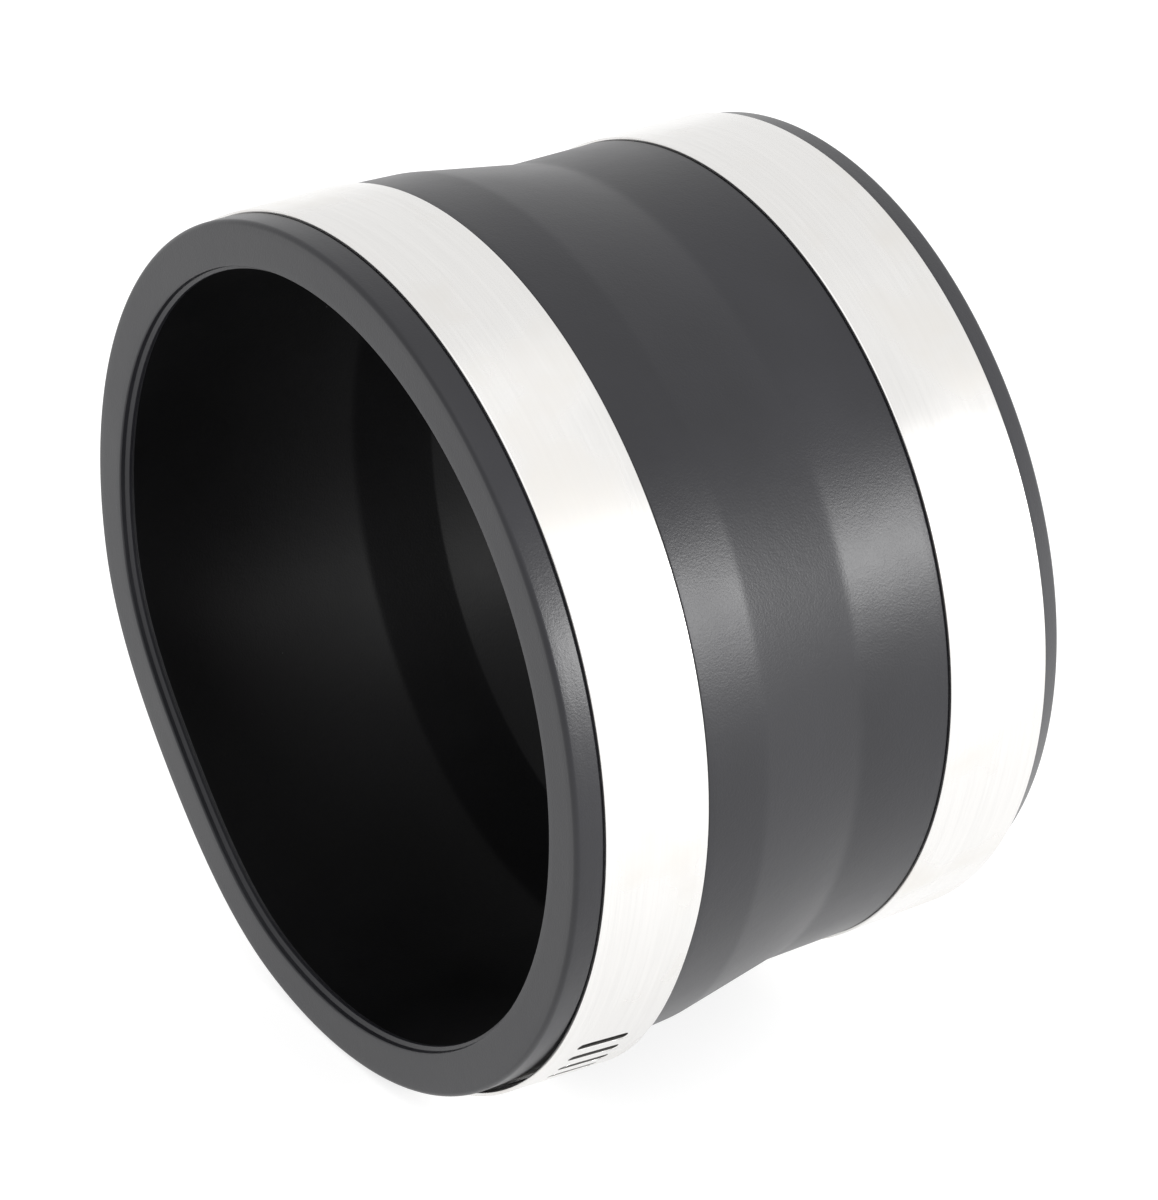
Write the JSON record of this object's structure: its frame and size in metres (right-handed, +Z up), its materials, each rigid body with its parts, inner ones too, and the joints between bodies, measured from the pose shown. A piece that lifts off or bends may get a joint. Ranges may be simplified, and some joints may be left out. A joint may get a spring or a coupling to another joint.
{
  "type": "stepped flexible pipe coupling",
  "caption": "Stepped black rubber pipe coupling that joins two plain pipes of unequal diameter, with a wide worm-drive steel band round each end.",
  "frame": {"origin": "centre of the large socket's mouth, on the pipe axis", "axes": "+X along the pipe axis from the large socket to the small one; +Z up when the coupling lies on its side; the clamps' screws are low on the +Y side"},
  "size_m": [0.1, 0.151, 0.1508],
  "materials": {
    "rubber": "satin moulded black rubber with a fine matt grain",
    "strap_steel": "smooth bright rolled stainless strip",
    "pressed_steel": "pressed stainless sheet, fine grained",
    "screw_steel": "turned stainless, slightly darker than the strip"
  },
  "bodies": {
    "coupling": {"rubber_sleeve": "rubber", "large_strap": "strap_steel", "large_saddle": "pressed_steel", "large_housing": "pressed_steel", "small_strap": "strap_steel", "small_saddle": "pressed_steel", "small_housing": "pressed_steel"},
    "large_screw": {"large_screw": "screw_steel"},
    "small_screw": {"small_screw": "screw_steel"}
  },
  "joints": [
    {"name": "large_screw_turn", "type": "hinge", "parent": "coupling", "child": "large_screw", "pos_m": [0.0151, 0.05996, -0.05267], "axis": [0, 0.66, 0.7513], "continuous": true},
    {"name": "small_screw_turn", "type": "hinge", "parent": "coupling", "child": "small_screw", "pos_m": [0.0853, 0.0584, -0.0513], "axis": [0, 0.66, 0.7513], "continuous": true}
  ]
}
